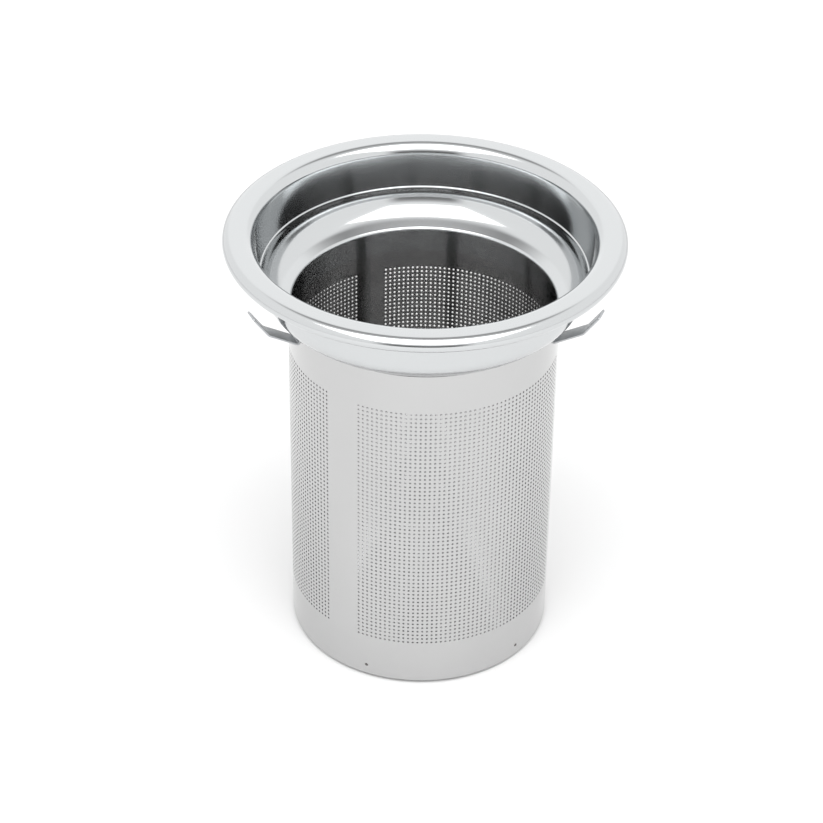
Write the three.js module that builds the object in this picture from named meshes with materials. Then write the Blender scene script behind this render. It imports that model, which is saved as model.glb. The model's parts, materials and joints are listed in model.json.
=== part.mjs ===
// Basket strainer: a perforated stainless tube hanging from a pressed, bowl-shaped collar with a
// rolled rim, closed by a shallow bottom cap, and held in its opening by three sprung clips.
// Millimetres, +Z up. The origin is the centre of the bottom face, and -Y is the front.

import * as THREE from "three";

// Driving dimensions
const SHEET = 0.5; // stainless sheet of the tube, the collar and the clips
const GAP = 0.3; // clearance between neighbouring pieces
const TURN_STEPS = 48; // facets round the axis

const TUBE_RADIUS = 34; // outside of the tube
const TUBE_TOP = 95.9;
const TUBE_FOOT = 0.9;

const CAP_SHEET = 0.6;
const CAP_CORNER = 0.8; // outside radius between the cap's disc and its flange
const CAP_FLANGE_TOP = 6;

const NECK_FOOT = 91; // lower edge of the collar's neck, inside the tube
const NECK_BEND = 1.2; // middle-line radius where the funnel turns down into the neck
const FUNNEL_SLOPE = 20; // degrees below horizontal, just above the neck
const SHOULDER = { r: 32.78, z: 105.57, radius: 7.85 }; // middle line of the bowl's rounded floor
const SHOULDER_END = -3; // degrees, where the rounded floor runs up into the conical wall
const WALL_LEAN = 9.4; // degrees from vertical
const THROAT = { r: 44.97, z: 114.05, radius: 2.7 }; // from the wall over to the flat lip
const LIP_TURN = { r: 47.42, z: 114.3, radius: 2.45 }; // from the lip down to the roll
const ROLL = { r: 48.13, z: 115.01, radius: 1.45 };
const ROLL_START = 45; // degrees, where the lip's turn tightens into the roll
const ROLL_END = -150; // degrees, the cut edge tucked under the lip

const CLIP_AZIMUTHS = [-66, 70, 182]; // degrees from the front, turning towards +X
const CLIP_WIDTH = 4.8;
const CLIP_FOLD = { r: 34.7, z: 93.5 }; // the fold that each leaf turns about
const CLIP_BEND = { r: 42.2, z: 97.9 };
const CLIP_TIP = { r: 46, z: 103.4 };
const CLIP_LEG_TOP = 95.4;
const FOLD_CLEARANCE = 0.9; // from the fold to the start of the leaf

const radians = THREE.MathUtils.degToRad;

const brightSteel = new THREE.MeshStandardMaterial({ color: "#c9cbcc", roughness: 0.14, metalness: 1 });
const sheetSteel = new THREE.MeshStandardMaterial({ color: "#bfc1c2", roughness: 0.2, metalness: 1 });
const springSteel = new THREE.MeshStandardMaterial({ color: "#b9bbbd", roughness: 0.22, metalness: 1 });

// Points of an arc in the (r, z) half plane, angles in degrees from the outward direction.
function arc(centre, radius, from, to, steps) {
  return Array.from({ length: steps + 1 }, (_, i) => {
    const angle = radians(from + ((to - from) * i) / steps);
    return new THREE.Vector2(centre.r + radius * Math.cos(angle), centre.z + radius * Math.sin(angle));
  });
}

// Closed outline of a sheet of even thickness about a middle line.
function sheetOutline(line, thickness) {
  const left = [];
  const right = [];
  line.forEach((point, i) => {
    const before = line[Math.max(i - 1, 0)];
    const after = line[Math.min(i + 1, line.length - 1)];
    const into = point.clone().sub(before).normalize();
    const out = after.clone().sub(point).normalize();
    const along = into.clone().add(out).normalize();
    const steer = i === 0 || i === line.length - 1 ? 1 : along.dot(out);
    const offset = new THREE.Vector2(-along.y, along.x).multiplyScalar(thickness / 2 / steer);
    left.push(point.clone().add(offset));
    right.push(point.clone().sub(offset));
  });
  return [...left, ...right.reverse()];
}

// Solid of revolution about +Z from a closed outline in the (r, z) half plane.
function turned(outline) {
  const points = THREE.ShapeUtils.isClockWise(outline) ? [...outline].reverse() : outline;
  return new THREE.LatheGeometry([...points, points[0]], TURN_STEPS).rotateX(Math.PI / 2);
}

function piece(name, geometry, material) {
  const mesh = new THREE.Mesh(geometry, material);
  mesh.name = name;
  return mesh;
}

// Collar: neck, funnel, rounded floor, conical wall, flat lip and rolled rim, as one sheet.
function collar() {
  const neckRadius = TUBE_RADIUS - SHEET - GAP - SHEET / 2;
  const shoulder = arc(SHOULDER, SHOULDER.radius, FUNNEL_SLOPE - 90, SHOULDER_END, 6);
  const bendStart = 90 + FUNNEL_SLOPE;
  const bendReach = neckRadius + NECK_BEND * (1 + Math.cos(radians(bendStart)));
  const funnelDrop = (shoulder[0].x - bendReach) * Math.tan(radians(FUNNEL_SLOPE));
  const bendCentre = {
    r: neckRadius + NECK_BEND,
    z: shoulder[0].y - funnelDrop - NECK_BEND * Math.sin(radians(bendStart)),
  };
  const line = [
    new THREE.Vector2(neckRadius, NECK_FOOT),
    ...arc(bendCentre, NECK_BEND, 180, bendStart, 3),
    ...shoulder,
    ...arc(THROAT, THROAT.radius, 180 - WALL_LEAN, 90, 4),
    ...arc(LIP_TURN, LIP_TURN.radius, 90, ROLL_START, 2),
    ...arc(ROLL, ROLL.radius, ROLL_START, ROLL_END, 8).slice(1),
  ];
  return piece("collar", turned(sheetOutline(line, SHEET)), brightSteel);
}

// Tube: its fine perforation is too small for these solids, so the wall is plain.
function perforatedTube() {
  const middle = TUBE_RADIUS - SHEET / 2;
  const line = [new THREE.Vector2(middle, TUBE_FOOT), new THREE.Vector2(middle, TUBE_TOP)];
  return piece("perforated_tube", turned(sheetOutline(line, SHEET)), sheetSteel);
}

// Bottom cap: a disc with a rounded corner and a short flange inside the tube's foot.
function bottomCap() {
  const outer = TUBE_RADIUS - SHEET - GAP;
  const inner = outer - CAP_SHEET;
  const corner = { r: outer - CAP_CORNER, z: CAP_CORNER };
  const outline = [
    new THREE.Vector2(0, 0),
    ...arc(corner, CAP_CORNER, -90, 0, 3),
    new THREE.Vector2(outer, CAP_FLANGE_TOP),
    new THREE.Vector2(inner, CAP_FLANGE_TOP),
    new THREE.Vector2(inner, CAP_SHEET),
    new THREE.Vector2(0, CAP_SHEET),
  ];
  return piece("bottom_cap", new THREE.LatheGeometry(outline, TURN_STEPS).rotateX(Math.PI / 2), sheetSteel);
}

// A strip of the clips' width whose edge is the outline, standing in the radial plane at an azimuth.
function strip(name, line, azimuth) {
  const outline = new THREE.Shape(sheetOutline(line, SHEET));
  const geometry = new THREE.ExtrudeGeometry(outline, { depth: CLIP_WIDTH, bevelEnabled: false });
  geometry.translate(0, 0, -CLIP_WIDTH / 2);
  const turn = radians(azimuth);
  const outward = new THREE.Vector3(Math.sin(turn), -Math.cos(turn), 0);
  const up = new THREE.Vector3(0, 0, 1);
  const across = outward.clone().cross(up);
  geometry.applyMatrix4(new THREE.Matrix4().makeBasis(outward, up, across));
  return piece(name, geometry, springSteel);
}

// Clip: a leg fixed on the tube above the fold, and a leaf that leans out and steepens at its bend.
function clip(number, azimuth) {
  const group = new THREE.Group();
  const legRadius = TUBE_RADIUS + GAP + SHEET / 2;
  const leg = [
    new THREE.Vector2(legRadius, CLIP_FOLD.z + GAP),
    new THREE.Vector2(legRadius, CLIP_LEG_TOP),
  ];
  const fold = new THREE.Vector2(CLIP_FOLD.r, CLIP_FOLD.z);
  const bend = new THREE.Vector2(CLIP_BEND.r, CLIP_BEND.z);
  const tip = new THREE.Vector2(CLIP_TIP.r, CLIP_TIP.z);
  const rise = bend.clone().sub(fold).normalize();
  const leaf = [fold.addScaledVector(rise, FOLD_CLEARANCE), bend, tip];
  group.add(strip(`clip_leg_${number}`, leg, azimuth), strip(`clip_leaf_${number}`, leaf, azimuth));
  return group;
}

const strainer = new THREE.Group();
strainer.add(collar(), perforatedTube(), bottomCap());
CLIP_AZIMUTHS.forEach((azimuth, i) => strainer.add(clip(i + 1, azimuth)));

export default strainer;
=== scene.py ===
"""Basket strainer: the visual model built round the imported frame, laid out as an add-on."""

import json
import math

import bmesh
import bpy
from bpy.props import FloatProperty, FloatVectorProperty, IntProperty, PointerProperty
from mathutils import Matrix, Vector
from mathutils.geometry import delaunay_2d_cdt


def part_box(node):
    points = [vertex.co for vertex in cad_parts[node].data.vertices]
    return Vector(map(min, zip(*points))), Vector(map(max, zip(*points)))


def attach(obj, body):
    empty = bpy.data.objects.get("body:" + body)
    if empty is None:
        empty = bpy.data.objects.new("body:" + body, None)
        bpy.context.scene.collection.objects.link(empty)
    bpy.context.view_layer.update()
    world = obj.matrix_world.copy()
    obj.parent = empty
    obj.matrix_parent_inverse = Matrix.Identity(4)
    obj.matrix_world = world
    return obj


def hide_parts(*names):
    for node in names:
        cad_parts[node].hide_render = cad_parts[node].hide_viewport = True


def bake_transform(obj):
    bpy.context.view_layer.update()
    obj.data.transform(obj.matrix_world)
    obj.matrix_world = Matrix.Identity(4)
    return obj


bl_info = {
    "name": "Basket strainer",
    "version": (1, 0, 0),
    "blender": (4, 5, 0),
    "location": "3D View > Sidebar > Strainer",
    "description": "Builds a perforated stainless basket strainer round its frame",
    "category": "Add Mesh",
}

MM = 0.001

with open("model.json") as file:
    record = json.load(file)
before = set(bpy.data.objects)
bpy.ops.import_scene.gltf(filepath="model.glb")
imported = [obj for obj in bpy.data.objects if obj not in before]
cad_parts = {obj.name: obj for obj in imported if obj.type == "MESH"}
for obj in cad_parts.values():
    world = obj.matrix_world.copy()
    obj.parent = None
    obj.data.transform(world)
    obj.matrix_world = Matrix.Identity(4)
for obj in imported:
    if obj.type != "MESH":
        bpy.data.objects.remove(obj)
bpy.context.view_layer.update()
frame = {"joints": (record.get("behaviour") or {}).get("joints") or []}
COLLAR_LOW, COLLAR_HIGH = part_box("collar")
TUBE_LOW, TUBE_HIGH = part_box("perforated_tube")
_, CAP_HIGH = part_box("bottom_cap")
CLIP_JOINTS = [joint for joint in frame["joints"] if joint["type"] == "hinge"]

RIM_RADIUS = COLLAR_HIGH[0]
RIM_TOP = COLLAR_HIGH[2]
TUBE_RADIUS = TUBE_HIGH[0]
TUBE_FOOT = TUBE_LOW[2]


# ---------------------------------------------------------------- sizes and colours


def linear(code):
    """An sRGB hex colour as linear RGBA."""
    channels = [int(code[i : i + 2], 16) / 255 for i in (1, 3, 5)]
    return (
        *(c / 12.92 if c <= 0.04045 else ((c + 0.055) / 1.055) ** 2.4 for c in channels),
        1.0,
    )


class StrainerSizes(bpy.types.PropertyGroup):
    """Sizes of the sheet, the holes and the clips."""

    sheet: FloatProperty(
        name="Sheet", description="Thickness of the stainless sheet", default=0.5 * MM,
        unit="LENGTH", precision=5,
    )
    hole_pitch: FloatProperty(
        name="Hole pitch", description="Distance between hole centres up the tube", default=1.213 * MM,
        unit="LENGTH", precision=5,
    )
    hole_diameter: FloatProperty(
        name="Hole diameter", description="Width of each hole", default=0.58 * MM,
        unit="LENGTH", precision=5,
    )
    hole_rows: IntProperty(name="Rows", description="Rows of holes in a panel", default=60)
    hole_columns: IntProperty(name="Columns", description="Columns of holes in a panel", default=52)
    lowest_row: FloatProperty(
        name="Lowest row", description="Height of the lowest row of holes", default=13.72 * MM,
        unit="LENGTH", precision=5,
    )
    panel_arc: FloatProperty(
        name="Panel arc", description="Angle from the first to the last column of a panel",
        default=math.radians(104.35), subtype="ANGLE",
    )
    base_field: FloatProperty(
        name="Base holes", description="Radius of the round field of holes in the base", default=28 * MM,
        unit="LENGTH", precision=5,
    )
    clip_width: FloatProperty(
        name="Clip width", description="Width of the clips' spring strip", default=4.8 * MM,
        unit="LENGTH", precision=5,
    )


class StrainerColours(bpy.types.PropertyGroup):
    """Colours of the polished and of the rolled sheet."""

    polished: FloatVectorProperty(
        name="Polished sheet", description="Colour of the polished collar", subtype="COLOR", size=3,
        default=linear("#c8cacb")[:3], min=0, max=1,
    )
    rolled: FloatVectorProperty(
        name="Rolled sheet", description="Colour of the perforated sheet", subtype="COLOR", size=3,
        default=linear("#c2c2c2")[:3], min=0, max=1,
    )


# ---------------------------------------------------------------- shared helpers


def add_node(tree, kind, inputs=None, **settings):
    """Adds a node, sets its properties, and sets or links its inputs by name or number."""
    node = tree.nodes.new(kind)
    for name, value in settings.items():
        setattr(node, name, value)
    for key, value in (inputs or {}).items():
        socket = node.inputs[key]
        if isinstance(value, bpy.types.NodeSocket):
            tree.links.new(value, socket)
        else:
            socket.default_value = value
    return node


def arc(centre, radius, start, stop, steps):
    """Points of an arc in the (r, z) half plane, in millimetres, angles in degrees from outwards."""
    angles = [math.radians(start + (stop - start) * i / steps) for i in range(steps + 1)]
    return [Vector((centre[0] + radius * math.cos(a), centre[1] + radius * math.sin(a))) for a in angles]


def sheet_face(line, offset_by):
    """One face of a sheet: its middle line moved to the left, or to the right by a negative distance."""
    face = []
    for i, point in enumerate(line):
        into = (point - line[max(i - 1, 0)]).normalized()
        out = (line[min(i + 1, len(line) - 1)] - point).normalized()
        along = (into + out).normalized()
        steer = 1.0 if i in (0, len(line) - 1) else along.dot(out)
        face.append(point + Vector((-along.y, along.x)) * (offset_by / steer))
    return face


def rounded_line(points, radii, steps):
    """A polyline with an arc at each inner corner."""
    line = [Vector(points[0])]
    for before, here, after, radius in zip(points, points[1:], points[2:], radii):
        corner = Vector(here)
        back = (Vector(before) - corner).normalized()
        on = (Vector(after) - corner).normalized()
        half = back.angle(on) / 2
        start = corner + back * (radius / math.tan(half))
        stop = corner + on * (radius / math.tan(half))
        centre = corner + (back + on).normalized() * (radius / math.sin(half))
        for k in range(steps + 1):
            mix = start.lerp(stop, k / steps) - centre
            line.append(centre + mix.normalized() * radius)
    line.append(Vector(points[-1]))
    return line


SHARP_ANGLE = 35  # degrees; a fold steeper than this is shaded as a crisp edge


def new_object(name, mesh, material, sharp=SHARP_ANGLE):
    """A shaded object at the origin, holding the mesh."""
    mesh.shade_smooth()
    mesh.set_sharp_from_angle(angle=math.radians(sharp))
    mesh.materials.clear()
    mesh.materials.append(material)
    piece = bpy.data.objects.new(name, mesh)
    bpy.context.scene.collection.objects.link(piece)
    return piece


def mesh_from_bmesh(name, bm):
    """Writes a bmesh out as a mesh and frees it."""
    bmesh.ops.recalc_face_normals(bm, faces=bm.faces[:])
    mesh = bpy.data.meshes.new(name)
    bm.to_mesh(mesh)
    bm.free()
    return mesh


def bridge(bm, rings):
    """Quads from each ring of corners to the next."""
    for ring, after in zip(rings, rings[1:]):
        for k in range(len(ring)):
            following = (k + 1) % len(ring)
            bm.faces.new((ring[k], ring[following], after[following], after[k]))


def close_ends(bm, rings):
    """One face over the first ring and one over the last."""
    bm.faces.new(rings[0][::-1])
    bm.faces.new(rings[-1])


def full_turn(steps):
    """Even angles once round the circle, in radians."""
    return [2 * math.pi * k / steps for k in range(steps)]


def turned_mesh(name, outline, segments):
    """Mesh of a closed outline, in millimetres, turned about +Z."""
    turns = full_turn(segments)
    bm = bmesh.new()
    rings = []
    for point in outline:
        radius, height = point[0] * MM, point[1] * MM
        places = [(radius * math.sin(t), -radius * math.cos(t), height) for t in turns]
        rings.append([bm.verts.new(place) for place in places])
    bridge(bm, [*rings, rings[0]])
    return mesh_from_bmesh(name, bm)


# ---------------------------------------------------------------- materials


DARK_TONE = 0.93  # share of a metal's colour left where its tone is darkest


def even_finish(name, colour, roughness, metallic):
    """A material with the same finish all over, and its shader."""
    material = bpy.data.materials.new(name)
    material.use_nodes = True
    shader = material.node_tree.nodes["Principled BSDF"]
    shader.inputs["Base Color"].default_value = (*colour[:3], 1.0)
    shader.inputs["Roughness"].default_value = roughness
    shader.inputs["Metallic"].default_value = metallic
    return material, shader


def noise(tree, place, feature, detail):
    """A 0 to 1 noise whose features are about the given number of millimetres across."""
    values = {"Vector": place, "Scale": 1 / (feature * MM), "Detail": detail}
    return add_node(tree, "ShaderNodeTexNoise", values).outputs["Fac"]


def textured_metal(name, colour, build):
    """A metal whose build(tree, place) gives a noise and the roughness at its ends, a relief and
    its depth in millimetres, and a tone."""
    material, shader = even_finish(name, colour, 0.5, 1.0)
    tree = material.node_tree
    place = add_node(tree, "ShaderNodeTexCoord").outputs["Object"]
    (haze, smooth, rough), (relief, depth), tone = build(tree, place)
    spread = add_node(tree, "ShaderNodeMapRange", {"Value": haze, "To Min": smooth, "To Max": rough})
    tree.links.new(spread.outputs[0], shader.inputs["Roughness"])
    bump = add_node(tree, "ShaderNodeBump", {"Height": relief, "Distance": depth * MM, "Strength": 1.0})
    tree.links.new(bump.outputs["Normal"], shader.inputs["Normal"])
    dark = [c * DARK_TONE for c in colour[:3]] + [1.0]
    shade = add_node(tree, "ShaderNodeMix", {0: tone, 6: dark, 7: (*colour[:3], 1.0)}, data_type="RGBA")
    tree.links.new(shade.outputs[2], shader.inputs["Base Color"])
    return material


def polished_stainless(colour):
    """Deep-drawn stainless polished on a wheel: an even near-mirror with slightly soft reflections."""
    return even_finish("wheel_polished_stainless", colour, roughness=0.12, metallic=1.0)


def spring_stainless():
    """Hard rolled spring strip: its dull, even skin from the mill only gives blurred reflections."""
    return even_finish("spring_strip_stainless", linear("#b8babc"), roughness=0.4, metallic=0.9)


def rolled_stainless(colour):
    """Fine perforated stainless sheet, rolled bright: its faint grain lies in lines round the tube."""

    def build(tree, place):
        lines = add_node(tree, "ShaderNodeMapping", {"Vector": place, "Scale": (1.0, 1.0, 14.0)})
        grain = noise(tree, lines.outputs[0], 3.846, 3.0)
        return (grain, 0.09, 0.17), (grain, 0.0006), noise(tree, place, 22.2, 2.0)

    return textured_metal("rolled_stainless", colour, build)


def weld_metal():
    """Resistance weld: a small heat-darkened spot with a rough skin."""

    def build(tree, place):
        grain = noise(tree, place, 1.111, 3.0)
        return (grain, 0.4, 0.6), (grain, 0.02), grain

    return textured_metal("weld_stainless", linear("#6f6d6b"), build)


def weld_bead():
    """Planished seam weld: the sheet's own metal, a little rougher and darker than the sheet."""

    def build(tree, place):
        ripple = noise(tree, place, 1.667, 2.0)
        return (ripple, 0.32, 0.45), (ripple, 0.01), ripple

    return textured_metal("weld_bead", linear("#b4b4b3"), build)


# ---------------------------------------------------------------- perforation

HOLE_SIDES = 8
CELL_EDGE = 0.499  # share of a cell's width past which a side face belongs to its outer edge
CELL_MERGE = 0.0001 * MM
SHEET_MERGE = 0.002 * MM


def math_node(tree, operation, a, b=0.0):
    """The output of a Math node."""
    return add_node(tree, "ShaderNodeMath", {0: a, 1: b}, operation=operation).outputs[0]


def holed_cell(tree, wide, high, hole, sheet):
    """One cell of the sheet, lying in XY: both faces and the wall of an eight-sided hole."""
    edge = add_node(tree, "GeometryNodeCurvePrimitiveQuadrilateral", {"Width": wide, "Height": high})
    radius = math_node(tree, "MULTIPLY", hole, 0.5)
    round_hole = {"Resolution": HOLE_SIDES, "Radius": radius}
    ring = add_node(tree, "GeometryNodeCurvePrimitiveCircle", round_hole)
    both = add_node(tree, "GeometryNodeJoinGeometry")
    tree.links.new(edge.outputs[0], both.inputs[0])
    tree.links.new(ring.outputs[0], both.inputs[0])
    flat = add_node(tree, "GeometryNodeFillCurve", {"Curve": both.outputs[0]})
    up = add_node(tree, "ShaderNodeCombineXYZ", {"Z": sheet})
    raised = add_node(
        tree,
        "GeometryNodeExtrudeMesh",
        {"Mesh": flat.outputs[0], "Offset": up.outputs[0], "Offset Scale": 1.0, "Individual": False},
    )
    place = add_node(tree, "GeometryNodeInputPosition")
    parts = add_node(tree, "ShaderNodeSeparateXYZ", {"Vector": place.outputs[0]})
    far_x, far_y = (
        math_node(
            tree,
            "GREATER_THAN",
            math_node(tree, "ABSOLUTE", parts.outputs[axis]),
            math_node(tree, "MULTIPLY", reach, CELL_EDGE),
        )
        for axis, reach in enumerate((wide, high))
    )
    border = add_node(tree, "FunctionNodeBooleanMath", {0: far_x, 1: far_y}, operation="OR")
    at_side = {0: border.outputs[0], 1: raised.outputs["Side"]}
    side = add_node(tree, "FunctionNodeBooleanMath", at_side, operation="AND")
    shell = add_node(
        tree,
        "GeometryNodeDeleteGeometry",
        {"Geometry": raised.outputs["Mesh"], "Selection": side.outputs[0]},
        domain="FACE",
    )
    back = add_node(tree, "GeometryNodeFlipFaces", {"Mesh": flat.outputs[0]})
    cell = add_node(tree, "GeometryNodeJoinGeometry")
    tree.links.new(shell.outputs[0], cell.inputs[0])
    tree.links.new(back.outputs[0], cell.inputs[0])
    merged = {"Geometry": cell.outputs[0], "Distance": CELL_MERGE}
    return add_node(tree, "GeometryNodeMergeByDistance", merged).outputs[0]


def start_tree(name, inputs):
    """A geometry node tree with a Geometry input and the named inputs, and its input node."""
    tree = bpy.data.node_groups.new(name, "GeometryNodeTree")
    tree.interface.new_socket("Geometry", in_out="INPUT", socket_type="NodeSocketGeometry")
    for label, kind in inputs:
        tree.interface.new_socket(label, in_out="INPUT", socket_type=kind)
    tree.interface.new_socket("Geometry", in_out="OUTPUT", socket_type="NodeSocketGeometry")
    return tree, add_node(tree, "NodeGroupInput").outputs


def end_tree(tree, geometry, material):
    """Gives the geometry its material and sends it out."""
    painted = add_node(tree, "GeometryNodeSetMaterial", {"Geometry": geometry, "Material": material})
    add_node(tree, "NodeGroupOutput", {0: painted.outputs[0]})


def joined(tree, *parts):
    """Several geometries as one, with touching corners merged."""
    join = add_node(tree, "GeometryNodeJoinGeometry")
    for part in parts:
        tree.links.new(part, join.inputs[0])
    merged = {"Geometry": join.outputs[0], "Distance": SHEET_MERGE}
    return add_node(tree, "GeometryNodeMergeByDistance", merged).outputs[0]


def perforated_panel_tree():
    """Fills a flat plate's window with holed cells, then bends the whole round the tube's axis."""
    tree, given = start_tree(
        "Perforated panel",
        [
            ("Columns", "NodeSocketInt"),
            ("Rows", "NodeSocketInt"),
            ("Pitch around", "NodeSocketFloat"),
            ("Pitch up", "NodeSocketFloat"),
            ("Hole diameter", "NodeSocketFloat"),
            ("Sheet", "NodeSocketFloat"),
            ("Window middle", "NodeSocketFloat"),
            ("Tube radius", "NodeSocketFloat"),
            ("Azimuth", "NodeSocketFloat"),
            ("Material", "NodeSocketMaterial"),
        ],
    )
    around, up = given["Pitch around"], given["Pitch up"]
    cell = holed_cell(tree, around, up, given["Hole diameter"], given["Sheet"])
    wide = math_node(tree, "MULTIPLY", around, math_node(tree, "SUBTRACT", given["Columns"], 1.0))
    high = math_node(tree, "MULTIPLY", up, math_node(tree, "SUBTRACT", given["Rows"], 1.0))
    grid = add_node(
        tree,
        "GeometryNodeMeshGrid",
        {"Size X": wide, "Size Y": high, "Vertices X": given["Columns"], "Vertices Y": given["Rows"]},
    )
    lift = add_node(tree, "ShaderNodeCombineXYZ", {"Y": given["Window middle"]})
    placed = add_node(
        tree, "GeometryNodeTransform", {"Geometry": grid.outputs[0], "Translation": lift.outputs[0]}
    )
    cells = {"Points": placed.outputs[0], "Instance": cell}
    copies = add_node(tree, "GeometryNodeInstanceOnPoints", cells)
    real = add_node(tree, "GeometryNodeRealizeInstances", {"Geometry": copies.outputs[0]})
    whole = joined(tree, given["Geometry"], real.outputs[0])
    place = add_node(tree, "GeometryNodeInputPosition")
    flat = add_node(tree, "ShaderNodeSeparateXYZ", {"Vector": place.outputs[0]})
    turn = math_node(
        tree, "ADD", math_node(tree, "DIVIDE", flat.outputs[0], given["Tube radius"]), given["Azimuth"]
    )
    inner = math_node(tree, "SUBTRACT", given["Tube radius"], given["Sheet"])
    radius = math_node(tree, "ADD", inner, flat.outputs[2])
    x = math_node(tree, "MULTIPLY", radius, math_node(tree, "SINE", turn))
    y = math_node(
        tree, "MULTIPLY", math_node(tree, "MULTIPLY", radius, -1.0), math_node(tree, "COSINE", turn)
    )
    bent = add_node(tree, "ShaderNodeCombineXYZ", {0: x, 1: y, 2: flat.outputs[1]})
    curled = add_node(tree, "GeometryNodeSetPosition", {"Geometry": whole, "Position": bent.outputs[0]})
    end_tree(tree, curled.outputs[0], given["Material"])
    return tree


def perforated_disc_tree():
    """Fills a round field with holed cells on a square grid, lying flat."""
    tree, given = start_tree(
        "Perforated disc",
        [
            ("Cells across", "NodeSocketInt"),
            ("Pitch", "NodeSocketFloat"),
            ("Hole diameter", "NodeSocketFloat"),
            ("Sheet", "NodeSocketFloat"),
            ("Field radius", "NodeSocketFloat"),
            ("Material", "NodeSocketMaterial"),
        ],
    )
    cell = holed_cell(tree, given["Pitch"], given["Pitch"], given["Hole diameter"], given["Sheet"])
    across = given["Cells across"]
    side = math_node(tree, "MULTIPLY", given["Pitch"], math_node(tree, "SUBTRACT", across, 1.0))
    grid = add_node(
        tree,
        "GeometryNodeMeshGrid",
        {"Size X": side, "Size Y": side, "Vertices X": across, "Vertices Y": across},
    )
    place = add_node(tree, "GeometryNodeInputPosition")
    reach = add_node(tree, "ShaderNodeVectorMath", {0: place.outputs[0]}, operation="LENGTH")
    inside = math_node(tree, "LESS_THAN", reach.outputs["Value"], given["Field radius"])
    copies = add_node(
        tree,
        "GeometryNodeInstanceOnPoints",
        {"Points": grid.outputs[0], "Selection": inside, "Instance": cell},
    )
    real = add_node(tree, "GeometryNodeRealizeInstances", {"Geometry": copies.outputs[0]})
    end_tree(tree, joined(tree, given["Geometry"], real.outputs[0]), given["Material"])
    return tree


def spot_weld_tree():
    """Rings of small flattened spots, set round the axis at even angles."""
    tree, given = start_tree(
        "Spot welds",
        [
            ("Count", "NodeSocketInt"),
            ("First azimuth", "NodeSocketFloat"),
            ("Radius", "NodeSocketFloat"),
            ("Height", "NodeSocketFloat"),
            ("Spot", "NodeSocketFloat"),
            ("Proud", "NodeSocketFloat"),
            ("Material", "NodeSocketMaterial"),
        ],
    )
    half = math_node(tree, "MULTIPLY", given["Spot"], 0.5)
    ball = add_node(tree, "GeometryNodeMeshUVSphere", {"Segments": 16, "Rings": 8, "Radius": half})
    flattened = math_node(tree, "DIVIDE", given["Proud"], half)
    squash = add_node(tree, "ShaderNodeCombineXYZ", {0: 1.0, 1: flattened, 2: 1.0})
    out = math_node(tree, "MULTIPLY", given["Radius"], -1.0)
    spot_place = add_node(tree, "ShaderNodeCombineXYZ", {1: out, 2: given["Height"]})
    spot = add_node(
        tree,
        "GeometryNodeTransform",
        {"Geometry": ball.outputs[0], "Translation": spot_place.outputs[0], "Scale": squash.outputs[0]},
    )
    points = add_node(tree, "GeometryNodePoints", {"Count": given["Count"]})
    step = math_node(tree, "DIVIDE", 2 * math.pi, given["Count"])
    index = add_node(tree, "GeometryNodeInputIndex").outputs[0]
    turn = math_node(tree, "ADD", math_node(tree, "MULTIPLY", index, step), given["First azimuth"])
    rotation = add_node(tree, "ShaderNodeCombineXYZ", {2: turn})
    copies = add_node(
        tree,
        "GeometryNodeInstanceOnPoints",
        {"Points": points.outputs[0], "Instance": spot.outputs[0], "Rotation": rotation.outputs[0]},
    )
    real = add_node(tree, "GeometryNodeRealizeInstances", {"Geometry": copies.outputs[0]})
    end_tree(tree, real.outputs[0], given["Material"])
    return tree


def grown(name, base_mesh, tree, values, material):
    """Runs a geometry node tree over a base mesh and returns the result as a plain object."""
    seed = bpy.data.objects.new(name + "_seed", base_mesh)
    bpy.context.scene.collection.objects.link(seed)
    modifier = seed.modifiers.new("Geometry Nodes", "NODES")
    modifier.node_group = tree
    sockets = {s.name: s.identifier for s in tree.interface.items_tree if s.in_out == "INPUT"}
    for label, value in values.items():
        modifier[sockets[label]] = value
    modifier[sockets["Material"]] = material
    graph = bpy.context.evaluated_depsgraph_get()
    mesh = bpy.data.meshes.new_from_object(seed.evaluated_get(graph), depsgraph=graph)
    mesh.name = name
    seed.modifiers.remove(modifier)
    bpy.data.objects.remove(seed)
    return new_object(name, mesh, material)


def plate_with_window(name, columns, rows, window, sheet):
    """A flat plate in XY with a rectangular window, both faces and the plate's outer edges."""
    bm = bmesh.new()
    verts = {}

    def corner(i, j, level):
        key = (i, j, level)
        if key not in verts:
            verts[key] = bm.verts.new((columns[i], rows[j], level * sheet))
        return verts[key]

    first_column, last_column, first_row, last_row = window
    for i in range(len(columns) - 1):
        for j in range(len(rows) - 1):
            if first_column <= i < last_column and first_row <= j < last_row:
                continue
            ring = [(i, j), (i + 1, j), (i + 1, j + 1), (i, j + 1)]
            bm.faces.new([corner(*c, 1) for c in ring])
            bm.faces.new([corner(*c, 0) for c in reversed(ring)])
    last_i, last_j = len(columns) - 1, len(rows) - 1
    edges = [((i + 1, 0), (i, 0)) for i in range(last_i)]
    edges += [((i, last_j), (i + 1, last_j)) for i in range(last_i)]
    edges += [((0, j), (0, j + 1)) for j in range(last_j)]
    edges += [((last_i, j + 1), (last_i, j)) for j in range(last_j)]
    for a, b in edges:
        bm.faces.new([corner(*a, 1), corner(*b, 1), corner(*b, 0), corner(*a, 0)])
    mesh = bpy.data.meshes.new(name)
    bm.to_mesh(mesh)
    bm.free()
    return mesh


def steps_between(low, high, size):
    """Evenly spaced values from low to high, about size apart, without the last one."""
    count = max(1, round((high - low) / size))
    return [low + (high - low) * k / count for k in range(count)]


# ---------------------------------------------------------------- tube

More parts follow.
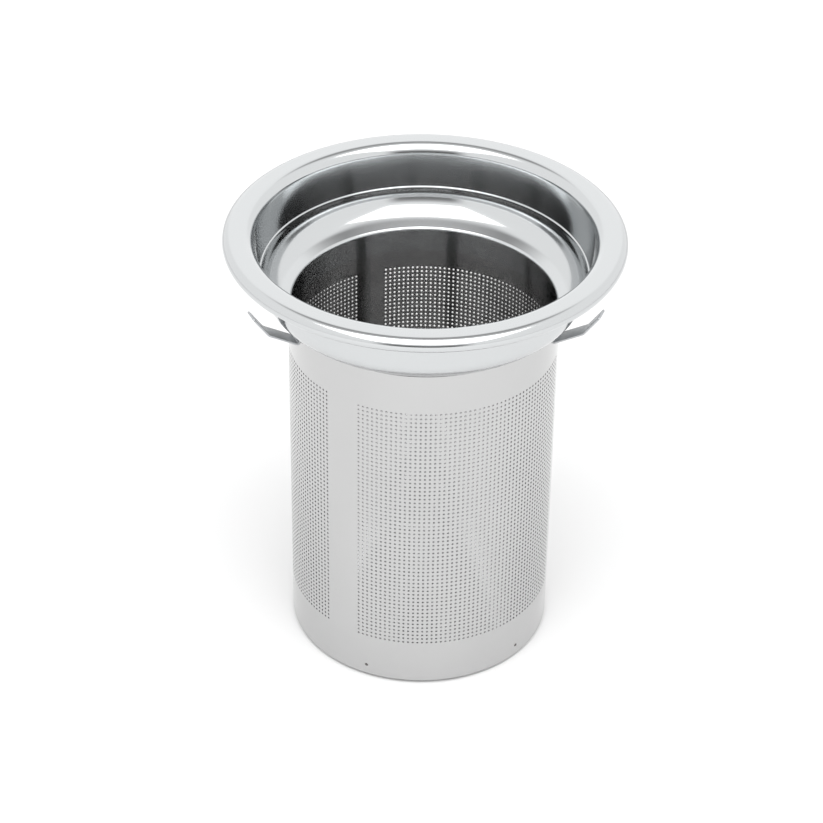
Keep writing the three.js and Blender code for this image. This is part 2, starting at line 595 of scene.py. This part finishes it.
PANEL_MIDDLES = (24.85, 145.14, 263.98)  # degrees from the front towards +X
TUBE_REACH = 0.55 * MM  # how far the sheet runs up under the collar, past its frame solid
FIT = 0.02  # mm between sheets that touch
SEAM_WIDTH = 0.9  # mm
SEAM_PROUD = 0.07  # mm that the bead stands out of the sheet
SEAM_STEPS = 32
SEAM_SIDES = 12


class STRAINER_OT_tube(bpy.types.Operator):
    """Three perforated panels of the rolled tube, each with its share of the plain sheet round it"""

    bl_idname = "strainer.tube"
    bl_label = "Perforated tube"

    def execute(self, context):
        sizes = context.scene.strainer_sizes
        material = bpy.data.materials["rolled_stainless"]
        tree = perforated_panel_tree()
        step = sizes.panel_arc / (sizes.hole_columns - 1)
        half_panel = step * sizes.hole_columns / 2
        window_foot = sizes.lowest_row - sizes.hole_pitch / 2
        window_top = window_foot + sizes.hole_pitch * sizes.hole_rows
        tube_top = TUBE_HIGH[2] + TUBE_REACH
        middles = [math.radians(a) for a in PANEL_MIDDLES]
        for k, middle in enumerate(middles):
            before = middles[k - 1] - (2 * math.pi if k == 0 else 0)
            after = middles[(k + 1) % 3] + (2 * math.pi if k == 2 else 0)
            left, right = (before - middle) / 2, (after - middle) / 2
            angles = steps_between(left, -half_panel, step)
            first_column = len(angles)
            angles += [-half_panel + step * i for i in range(sizes.hole_columns)]
            last_column = len(angles)
            angles += [*steps_between(half_panel, right, step), right]
            rows = steps_between(TUBE_FOOT, window_foot, sizes.hole_pitch)
            first_row = len(rows)
            rows += [window_foot + sizes.hole_pitch * j for j in range(sizes.hole_rows)]
            last_row = len(rows)
            rows += [*steps_between(window_top, tube_top, sizes.hole_pitch), tube_top]
            plate = plate_with_window(
                f"tube_plate_{k + 1}",
                [a * TUBE_RADIUS for a in angles],
                rows,
                (first_column, last_column, first_row, last_row),
                sizes.sheet,
            )
            values = {
                "Columns": sizes.hole_columns,
                "Rows": sizes.hole_rows,
                "Pitch around": step * TUBE_RADIUS,
                "Pitch up": sizes.hole_pitch,
                "Hole diameter": sizes.hole_diameter,
                "Sheet": sizes.sheet,
                "Window middle": (window_foot + window_top) / 2,
                "Tube radius": TUBE_RADIUS,
                "Azimuth": middle,
            }
            piece = grown(f"tube_panel_{k + 1}", plate, tree, values, material)
            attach(piece, "root")
            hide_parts("perforated_tube")
        self.weld_seam()
        return {"FINISHED"}

    def weld_seam(self):
        """The tube's lengthwise weld: a low flat bead in the plain strip behind, on the left."""
        seam = math.radians((PANEL_MIDDLES[1] + PANEL_MIDDLES[2]) / 2)
        low, high = TUBE_FOOT / MM + 0.1, TUBE_HIGH[2] / MM
        bm = bmesh.new()
        rings = []
        for i in range(SEAM_STEPS + 1):
            height = low + (high - low) * i / SEAM_STEPS
            ring = []
            for a in full_turn(SEAM_SIDES):
                radius = TUBE_RADIUS / MM + SEAM_PROUD * math.sin(a)
                turn = seam + SEAM_WIDTH / 2 * math.cos(a) * MM / TUBE_RADIUS
                place = (radius * math.sin(turn) * MM, -radius * math.cos(turn) * MM, height * MM)
                ring.append(bm.verts.new(place))
            rings.append(ring)
        bridge(bm, rings)
        close_ends(bm, rings)
        mesh = mesh_from_bmesh("tube_seam", bm)
        piece = new_object("tube_seam", mesh, bpy.data.materials["weld_bead"])
        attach(piece, "root")


# ---------------------------------------------------------------- bottom cap

# Millimetres.
CAP_SHEET = 0.6
CAP_OUTER_ROUND = 0.8
CAP_INNER_ROUND = 0.3
CAP_SEGMENTS = 192


def cells_in_field(pitch, radius, across):
    """Square cells whose middles lie within a radius, as whole-number places."""
    half = across // 2
    span = range(-half, half + 1)
    return {(i, j) for i in span for j in span if math.hypot(i, j) * pitch < radius}


def filled_round(bm, rim, cells, pitch, height, facing):
    """Fills a flat round plate outside the perforated cells. Lengths in millimetres."""
    points = [Vector(p) for p in rim]
    edges = [(k, (k + 1) % len(rim)) for k in range(len(rim))]
    known = {}

    def place(i, j):
        if (i, j) not in known:
            known[(i, j)] = len(points)
            points.append(Vector(((i - 0.5) * pitch, (j - 0.5) * pitch)))
        return known[(i, j)]

    for i, j in sorted(cells):
        sides = {
            (i - 1, j): ((i, j), (i, j + 1)),
            (i + 1, j): ((i + 1, j), (i + 1, j + 1)),
            (i, j - 1): ((i, j), (i + 1, j)),
            (i, j + 1): ((i, j + 1), (i + 1, j + 1)),
        }
        edges += [(place(*a), place(*b)) for other, (a, b) in sides.items() if other not in cells]
    flat, _, faces, *_ = delaunay_2d_cdt(points, edges, [], 0, 1e-5)
    verts = [bm.verts.new((p.x * MM, p.y * MM, height * MM)) for p in flat]
    for face in faces:
        middle = sum((flat[v] for v in face), Vector((0, 0))) / len(face)
        if (round(middle.x / pitch), round(middle.y / pitch)) in cells:
            continue
        order = face if facing > 0 else face[::-1]
        bm.faces.new([verts[v] for v in order])


class STRAINER_OT_bottom_cap(bpy.types.Operator):
    """The shallow pressed cap with its round field of holes and the flange welded inside the tube"""

    bl_idname = "strainer.bottom_cap"
    bl_label = "Bottom cap"

    def execute(self, context):
        sizes = context.scene.strainer_sizes
        pitch, field = sizes.hole_pitch / MM, sizes.base_field / MM
        across = 2 * math.ceil(field / pitch) + 1
        cells = cells_in_field(pitch, field, across)
        outer = (TUBE_RADIUS - sizes.sheet) / MM - FIT
        inner = outer - CAP_SHEET
        top = CAP_HIGH[2] / MM
        wall = arc((outer - CAP_OUTER_ROUND, CAP_OUTER_ROUND), CAP_OUTER_ROUND, -90, 0, 8)
        wall += [Vector((outer, top)), Vector((inner, top))]
        wall += arc((inner - CAP_INNER_ROUND, CAP_SHEET + CAP_INNER_ROUND), CAP_INNER_ROUND, 0, -90, 4)
        turns = full_turn(CAP_SEGMENTS)
        bm = bmesh.new()
        rings = [
            [bm.verts.new((r * math.cos(t) * MM, r * math.sin(t) * MM, z * MM)) for t in turns]
            for r, z in wall
        ]
        bridge(bm, rings)
        for (r, z), facing in ((wall[0], -1), (wall[-1], 1)):
            rim = [(r * math.cos(t), r * math.sin(t)) for t in turns]
            filled_round(bm, rim, cells, pitch, z, facing)
        mesh = bpy.data.meshes.new("bottom_cap_plate")
        bm.to_mesh(mesh)
        bm.free()
        values = {
            "Cells across": across,
            "Pitch": sizes.hole_pitch,
            "Hole diameter": sizes.hole_diameter,
            "Sheet": CAP_SHEET * MM,
            "Field radius": sizes.base_field,
        }
        material = bpy.data.materials["rolled_stainless"]
        piece = grown("base_cap", mesh, perforated_disc_tree(), values, material)
        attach(piece, "root")
        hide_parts("bottom_cap")
        return {"FINISHED"}


# ---------------------------------------------------------------- collar

# Millimetres and degrees; points are (r, z) on the sheet's middle line, angles are from outwards.
COLLAR_SEGMENTS = 256
ROLL_RADIUS = 1.7  # outside radius of the rolled rim
NECK_BEND = 0.7
FUNNEL_SLOPE = 20
SHOULDER = (32.78, 105.57)
SHOULDER_RADIUS = 7.85
WALL_LEAN = 8
STEP = ((40.68, 105.5), (41.0, 105.6))  # pressed step at the foot of the wall, on the inside only
SHOULDER_END_INSIDE = -4
SHOULDER_END_OUTSIDE = -9.4
THROAT = (44.97, 114.05)
THROAT_ROUND = 2.7
LIP_TURN = (47.42, 114.3)
LIP_ROUND = 2.45
ROLL_RISE = 0.71  # from the middle of the lip's turn up to the middle of the roll
ROLL_START = 45  # where the lip's turn tightens into the roll
ROLL_END = -150  # the cut edge, tucked under the lip
SHOULDER_STEPS = 28
THROAT_STEPS = 20
TURN_STEPS = 12
ROLL_STEPS = 34
STEP_ROUND = 0.08
NECK_RING = 0.1  # below the neck's bend; keeps the shading of the straight neck even
WALL_RINGS = (0.03, 0.97)  # shares of the wall's height; keep the shading of the straight wall even


class STRAINER_OT_collar(bpy.types.Operator):
    """The pressed collar, one sheet: neck, funnel, rounded floor, conical wall, flat lip, rolled rim"""

    bl_idname = "strainer.collar"
    bl_label = "Collar"

    def execute(self, context):
        sheet = context.scene.strainer_sizes.sheet / MM
        neck = TUBE_RADIUS / MM - sheet - FIT - sheet / 2
        shoulder, plain_shoulder = (
            arc(SHOULDER, SHOULDER_RADIUS, FUNNEL_SLOPE - 90, end, SHOULDER_STEPS)
            for end in (SHOULDER_END_INSIDE, SHOULDER_END_OUTSIDE)
        )
        throat = arc(THROAT, THROAT_ROUND, 180 - WALL_LEAN, 90, THROAT_STEPS)
        step = rounded_line([shoulder[-1], *STEP, throat[0]], (STEP_ROUND, STEP_ROUND), 3)[1:-1]
        wall = [step[-1].lerp(throat[0], share) for share in WALL_RINGS]
        turn = math.radians(90 + FUNNEL_SLOPE)
        reach = neck + NECK_BEND * (1 + math.cos(turn))
        drop = (shoulder[0].x - reach) * math.tan(math.radians(FUNNEL_SLOPE))
        bend_centre = (neck + NECK_BEND, shoulder[0].y - drop - NECK_BEND * math.sin(turn))
        roll = ROLL_RADIUS - sheet / 2
        roll_centre = (RIM_RADIUS / MM - ROLL_RADIUS, RIM_TOP / MM - LIP_ROUND - sheet / 2 + ROLL_RISE)
        foot = [
            Vector((neck, COLLAR_LOW[2] / MM)),
            Vector((neck, bend_centre[1] - NECK_RING)),
            *arc(bend_centre, NECK_BEND, 180, 90 + FUNNEL_SLOPE, TURN_STEPS),
        ]
        rim = [
            *throat,
            *arc(LIP_TURN, LIP_ROUND, 90, ROLL_START, TURN_STEPS),
            *arc(roll_centre, roll, ROLL_START, ROLL_END, ROLL_STEPS)[1:],
        ]
        inside = sheet_face([*foot, *shoulder, *step, *wall, *rim], sheet / 2)
        outside = sheet_face([*foot, *plain_shoulder, *rim], -sheet / 2)
        outline = inside + outside[::-1]
        mesh = turned_mesh("collar_shell", outline, COLLAR_SEGMENTS)
        piece = new_object("collar_shell", mesh, bpy.data.materials["wheel_polished_stainless"])
        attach(piece, "root")
        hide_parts("collar")
        return {"FINISHED"}


# ---------------------------------------------------------------- clips

# Millimetres; points are (r, z) on the strip's middle line.
CLIP_LEG_TOP = 95.4
CLIP_FOLD_Z = 93.2  # where the leg's line and the leaf's line cross
CLIP_BEND = (42.2, 97.9)
CLIP_TIP = (46.0, 103.4)
FOLD_ROUND = 0.5
BEND_ROUND = 2.0
STRIP_ROUND = 0.09  # worn edge radius of the strip
STRIP_CORNER = 0.7  # radius of the strip's corners, seen flat
STRIP_STEP = 0.35  # longest step along the strip
CLIP_SHARP_ANGLE = 50  # degrees


def strip_section(width, thick, edge):
    """Rounded rectangle across the strip, as (across, through) pairs."""
    points = []
    for sx, sy, start in ((1, 1, 0), (-1, 1, 90), (-1, -1, 180), (1, -1, 270)):
        for k in range(3):
            a = math.radians(start + 45 * k)
            across = sx * (width / 2 - edge) + edge * math.cos(a)
            through = sy * (thick / 2 - edge) + edge * math.sin(a)
            points.append((across, through))
    return points


class STRAINER_OT_clips(bpy.types.Operator):
    """The folded spring strips: each leg is welded to the tube and each leaf rises outwards from its fold
    """

    bl_idname = "strainer.clips"
    bl_label = "Spring clips"

    def execute(self, context):
        sizes = context.scene.strainer_sizes
        sheet = sizes.sheet / MM
        leg = TUBE_RADIUS / MM + sheet / 2 + FIT
        points = [(leg, CLIP_LEG_TOP), (leg, CLIP_FOLD_Z), CLIP_BEND, CLIP_TIP]
        line = rounded_line(points, (FOLD_ROUND, BEND_ROUND), 10)
        for number, joint in enumerate(CLIP_JOINTS, 1):
            out = Vector((joint["pos_m"][0], joint["pos_m"][1], 0)).normalized()
            across = Vector((-out.y, out.x, 0))
            mesh = self.strip(line, sizes.clip_width / MM, sheet, out, across)
            material = bpy.data.materials["spring_strip_stainless"]
            piece = new_object(f"spring_clip_{number}", mesh, material, CLIP_SHARP_ANGLE)
            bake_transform(piece)
            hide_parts(f"clip_leg_{number}", f"clip_leaf_{number}")
        return {"FINISHED"}

    def strip(self, line, width, sheet, out, across):
        """A strip swept along the line, with its ends rounded in plan."""
        length = sum((b - a).length for a, b in zip(line, line[1:]))
        dense = []
        for a, b in zip(line, line[1:]):
            count = max(1, math.ceil((b - a).length / STRIP_STEP))
            dense += [a.lerp(b, k / count) for k in range(count)]
        dense.append(line[-1])
        bm = bmesh.new()
        rings = []
        travelled = 0.0
        for i, point in enumerate(dense):
            if i:
                travelled += (point - dense[i - 1]).length
            ahead = (dense[min(i + 1, len(dense) - 1)] - dense[max(i - 1, 0)]).normalized()
            normal = Vector((-ahead.y, ahead.x))
            short = STRIP_CORNER - min(travelled, length - travelled, STRIP_CORNER)
            inset = STRIP_CORNER - math.sqrt(max(STRIP_CORNER**2 - short**2, 0.0))
            ring = []
            for w, t in strip_section(width - 2 * inset, sheet, STRIP_ROUND):
                place = point + normal * t
                ring.append(bm.verts.new((out * place.x + across * w + Vector((0, 0, place.y))) * MM))
            rings.append(ring)
        bridge(bm, rings)
        close_ends(bm, rings)
        return mesh_from_bmesh("spring_clip", bm)


# ---------------------------------------------------------------- welds

# Millimetres and degrees.
WELD_COUNT = 5
WELD_FIRST = -23.5  # from the front towards +X
WELD_HEIGHT = 3.7
WELD_WIDTH = 0.9
WELD_PROUD = 0.06


class STRAINER_OT_welds(bpy.types.Operator):
    """Spot welds that hold the tube's foot to the bottom cap's flange"""

    bl_idname = "strainer.welds"
    bl_label = "Spot welds"

    def execute(self, context):
        values = {
            "Count": WELD_COUNT,
            "First azimuth": math.radians(WELD_FIRST),
            "Radius": TUBE_RADIUS,
            "Height": WELD_HEIGHT * MM,
            "Spot": WELD_WIDTH * MM,
            "Proud": WELD_PROUD * MM,
        }
        empty = bpy.data.meshes.new("spot_weld_seed")
        material = bpy.data.materials["weld_stainless"]
        piece = grown("spot_welds", empty, spot_weld_tree(), values, material)
        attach(piece, "root")
        return {"FINISHED"}


# ---------------------------------------------------------------- finishes and stage


class STRAINER_OT_finishes(bpy.types.Operator):
    """The stainless finishes of the collar, the perforated sheet, the clips and the welds"""

    bl_idname = "strainer.finishes"
    bl_label = "Finishes"

    def execute(self, context):
        colours = context.scene.strainer_colours
        polished_stainless(colours.polished)
        rolled_stainless(colours.rolled)
        spring_stainless()
        weld_metal()
        weld_bead()
        return {"FINISHED"}


# Metres; angles in degrees.
FLOOR_RADIUS = 6.0
ROOM_STRENGTH = 2.0
ROOM_WALL = 0.6  # share of the room's strength at its two sides
ROOM_TURN = (0.3, 0.45)  # how far aside, from 0 ahead to 1, the bands give way to the side walls
# Share of the room's strength by angle overhead, from the front horizon at 0 to the back one at 180.
ROOM_BANDS = (
    (0, 0.06), (10, 0.08), (20, 0.2), (27, 0.4), (33, 0.62), (90, 0.7),
    (96, 0.5), (106, 0.36), (117, 0.2), (123, 0.25), (133, 0.66), (180, 0.66),
)
PANEL_PLACE = (0.0, -0.48, 1.0)
PANEL_SIZE = (1.1, 1.0)
PANEL_RADIANCE = 2.5
CAMERA_PLACE = (-0.00273, -0.5387, 0.4417)
CAMERA_RIGHT = (0.99990, 0.00815, 0.01149)
CAMERA_UP = (-0.01410, 0.57557, 0.81763)
CAMERA_LENS = 112.02


class STRAINER_OT_stage(bpy.types.Operator):
    """Pale floor, soft studio surroundings and the camera"""

    bl_idname = "strainer.stage"
    bl_label = "Stage"

    def execute(self, context):
        self.floor()
        self.surroundings(context.scene)
        self.ceiling_panel(context.scene)
        self.camera(context.scene)
        return {"FINISHED"}

    def floor(self):
        """A wide matt disc in the plane that the strainer stands on."""
        bm = bmesh.new()
        bmesh.ops.create_circle(bm, cap_ends=True, radius=FLOOR_RADIUS, segments=64)
        mesh = mesh_from_bmesh("studio_floor", bm)
        material, shader = even_finish("white_floor", linear("#e4e4e4"), roughness=0.9, metallic=0.0)
        shader.inputs["Specular IOR Level"].default_value = 0.0
        piece = new_object("studio_floor", mesh, material)

    def surroundings(self, scene):
        """A bright room, dim low down at the front and in a strip of ceiling just behind the panel."""
        world = bpy.data.worlds.new("studio")
        scene.world = world
        world.use_nodes = True
        tree = world.node_tree
        tree.nodes.clear()
        way = add_node(tree, "ShaderNodeTexCoord").outputs["Generated"]
        parts = add_node(tree, "ShaderNodeSeparateXYZ", {0: way}).outputs
        front = math_node(tree, "MULTIPLY", parts[1], -1.0)
        arch = math_node(tree, "ARCTAN2", parts[2], front)
        half_turn = {"Value": arch, "From Min": 0.0, "From Max": math.pi}
        share = add_node(tree, "ShaderNodeMapRange", half_turn)
        ramp = add_node(tree, "ShaderNodeValToRGB", {0: share.outputs[0]})
        stops = ramp.color_ramp.elements
        for degrees, level in ROOM_BANDS:
            stop = stops[0] if degrees == 0 else stops[-1] if degrees == 180 else stops.new(degrees / 180)
            stop.color = (level, level, level, 1)
        aside = math_node(tree, "ABSOLUTE", parts[0])
        middle = add_node(
            tree,
            "ShaderNodeMapRange",
            {
                "Value": aside,
                "From Min": ROOM_TURN[0],
                "From Max": ROOM_TURN[1],
                "To Min": 1.0,
                "To Max": 0.0,
            },
        )
        wall = (ROOM_WALL, ROOM_WALL, ROOM_WALL, 1)
        levels = {0: middle.outputs[0], 6: wall, 7: ramp.outputs[0]}
        mix = add_node(tree, "ShaderNodeMix", levels, data_type="RGBA")
        glow = {"Color": mix.outputs[2], "Strength": ROOM_STRENGTH}
        light = add_node(tree, "ShaderNodeBackground", glow)
        add_node(tree, "ShaderNodeOutputWorld", {"Surface": light.outputs[0]})

    def ceiling_panel(self, scene):
        """The soft panel overhead, over the front half of the floor."""
        data = bpy.data.lights.new("ceiling_panel", "AREA")
        data.shape = "RECTANGLE"
        data.size, data.size_y = PANEL_SIZE
        data.energy = PANEL_RADIANCE * math.pi * data.size * data.size_y
        panel = bpy.data.objects.new("ceiling_panel", data)
        panel.location = PANEL_PLACE
        scene.collection.objects.link(panel)

    def camera(self, scene):
        """The camera, in front and above, with its own right and up directions."""
        data = bpy.data.cameras.new("camera")
        data.lens = CAMERA_LENS
        data.sensor_width = 36.0
        data.clip_start = 0.01
        data.clip_end = 50.0
        camera = bpy.data.objects.new("camera", data)
        scene.collection.objects.link(camera)
        right = Vector(CAMERA_RIGHT).normalized()
        up = Vector(CAMERA_UP)
        up = (up - right * up.dot(right)).normalized()
        axes = Matrix((right, up, right.cross(up))).transposed().to_4x4()
        camera.matrix_world = Matrix.Translation(CAMERA_PLACE) @ axes
        scene.camera = camera
        scene.view_settings.view_transform = "Standard"


# ---------------------------------------------------------------- panel and registration


class STRAINER_PT_panel(bpy.types.Panel):
    """Lists the strainer's sizes, colours and pieces"""

    bl_idname = "STRAINER_PT_panel"
    bl_label = "Basket strainer"
    bl_space_type = "VIEW_3D"
    bl_region_type = "UI"
    bl_category = "Strainer"

    def draw(self, context):
        for group in (context.scene.strainer_sizes, context.scene.strainer_colours):
            for name in group.__annotations__:
                self.layout.prop(group, name)
        for operator in OPERATORS:
            self.layout.operator(operator.bl_idname)


OPERATORS = (
    STRAINER_OT_stage,
    STRAINER_OT_finishes,
    STRAINER_OT_collar,
    STRAINER_OT_tube,
    STRAINER_OT_bottom_cap,
    STRAINER_OT_clips,
    STRAINER_OT_welds,
)
CLASSES = (StrainerSizes, StrainerColours, *OPERATORS, STRAINER_PT_panel)


def register():
    for cls in CLASSES:
        bpy.utils.register_class(cls)
    bpy.types.Scene.strainer_sizes = PointerProperty(type=StrainerSizes)
    bpy.types.Scene.strainer_colours = PointerProperty(type=StrainerColours)


def unregister():
    del bpy.types.Scene.strainer_colours
    del bpy.types.Scene.strainer_sizes
    for cls in reversed(CLASSES):
        bpy.utils.unregister_class(cls)


def main():
    register()
    for operator in OPERATORS:
        group, name = operator.bl_idname.split(".")
        getattr(getattr(bpy.ops, group), name)()


if __name__ == "__main__":
    main()
